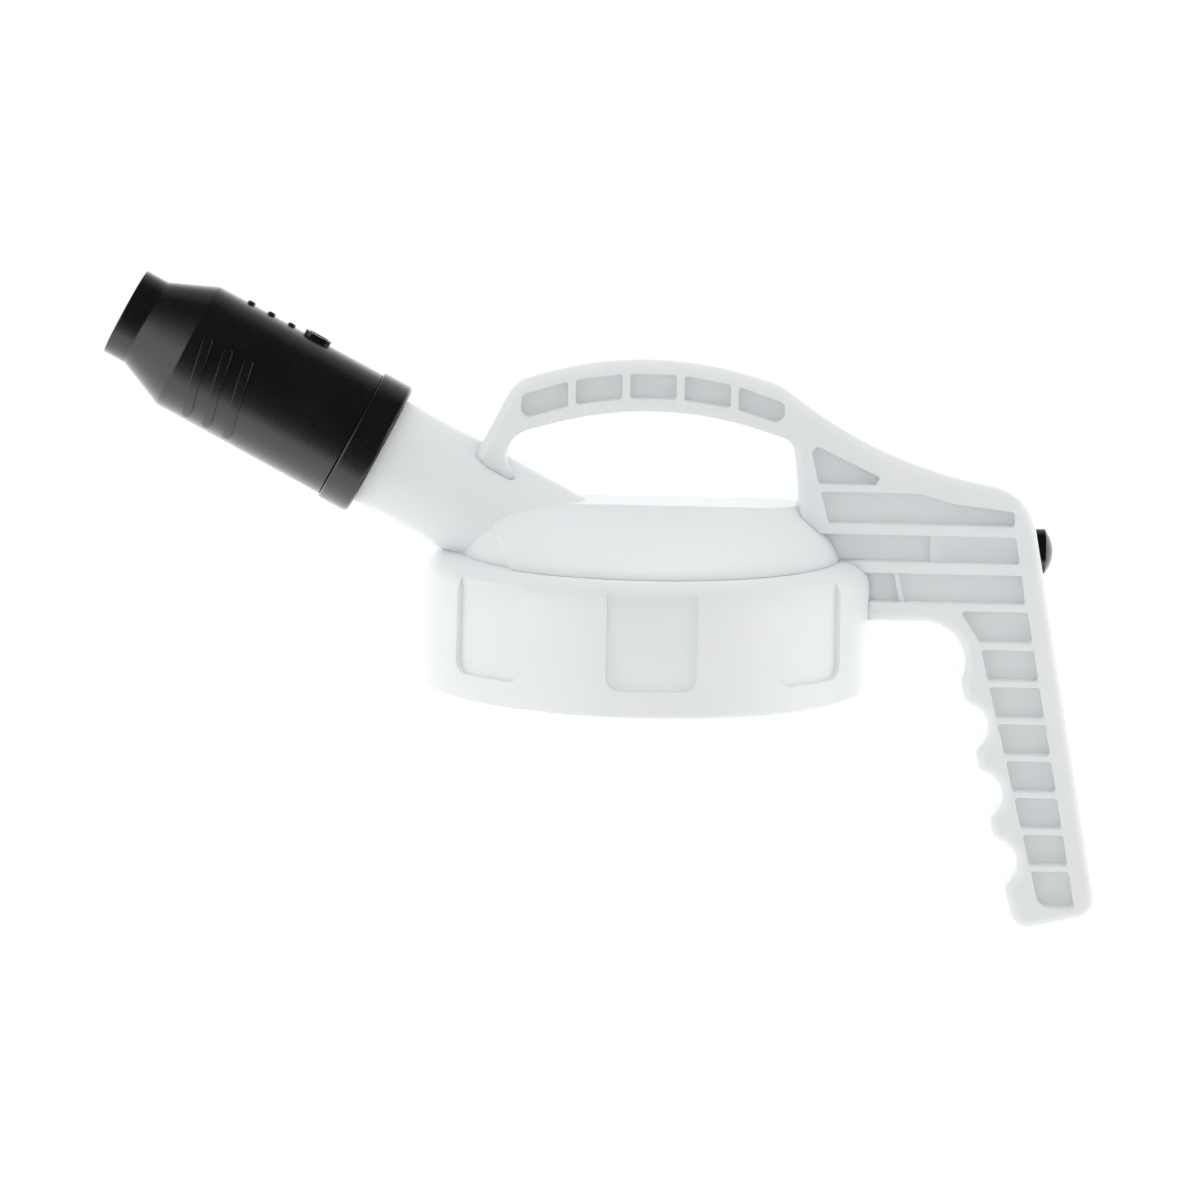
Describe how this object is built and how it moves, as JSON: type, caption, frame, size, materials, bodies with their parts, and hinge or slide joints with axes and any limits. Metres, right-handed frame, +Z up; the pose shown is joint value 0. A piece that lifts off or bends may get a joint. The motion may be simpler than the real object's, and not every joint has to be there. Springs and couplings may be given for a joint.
{
  "type": "container pouring lid",
  "caption": "Screw-on pouring lid for a fluid transfer container, with a twist shut-off spout, carry arch, rear grip and thumb vent button.",
  "frame": {"origin": "centre of the cap's bottom rim, on the axis of the container's neck", "axes": "+Z up along the neck's axis, +X towards the rear grip, and the spout points to -X; the lid is symmetric about the XZ plane"},
  "size_m": [0.2694, 0.122, 0.1722],
  "materials": {
    "white_lid": "satin moulded polyethylene",
    "black_nozzle": "satin moulded plastic",
    "black_button": "gloss",
    "inner_plastic": "satin natural acetal",
    "seal_rubber": "matte nitrile",
    "gasket_rubber": "matte nitrile",
    "steel": "bright drawn stainless"
  },
  "bodies": {
    "lid": {"cap_ring": "white_lid", "spout_hood": "white_lid", "carry_handle": "white_lid", "neck_gasket": "gasket_rubber", "tube_o_ring_front": "seal_rubber", "tube_o_ring_rear": "seal_rubber", "rod_bush_front": "inner_plastic", "rod_bush_rear": "inner_plastic", "spring_washer": "steel", "breather_spring": "steel"},
    "nozzle": {"nozzle": "black_nozzle", "nozzle_collar": "black_nozzle"},
    "valve": {"valve_plug": "inner_plastic", "plug_o_ring": "seal_rubber", "cam_spider": "inner_plastic", "spider_clip": "steel"},
    "breather": {"breather_button": "black_button", "breather_rod": "steel", "valve_disc": "inner_plastic", "valve_disc_seal": "seal_rubber", "valve_disc_clip": "steel"}
  },
  "joints": [
    {"name": "nozzle_twist", "type": "hinge", "parent": "lid", "child": "nozzle", "pos_m": [-0.14064, 0, 0.09694], "axis": [-0.8854, 0, 0.4648], "range_deg": [0, 90]},
    {"name": "valve_travel", "type": "slide", "parent": "lid", "child": "valve", "axis": [0.8854, 0, -0.4648], "range_m": [0, 0.008]},
    {"name": "breather_press", "type": "slide", "parent": "lid", "child": "breather", "axis": [-1, 0, 0], "range_m": [0, 0.004], "stiffness_N_per_m": 400, "springref_m": -0.004, "deforming": ["breather_spring"]}
  ],
  "couplings": [
    {"joint": "valve_travel", "follows": "nozzle_twist", "m_per_rad": 0.005093}
  ]
}
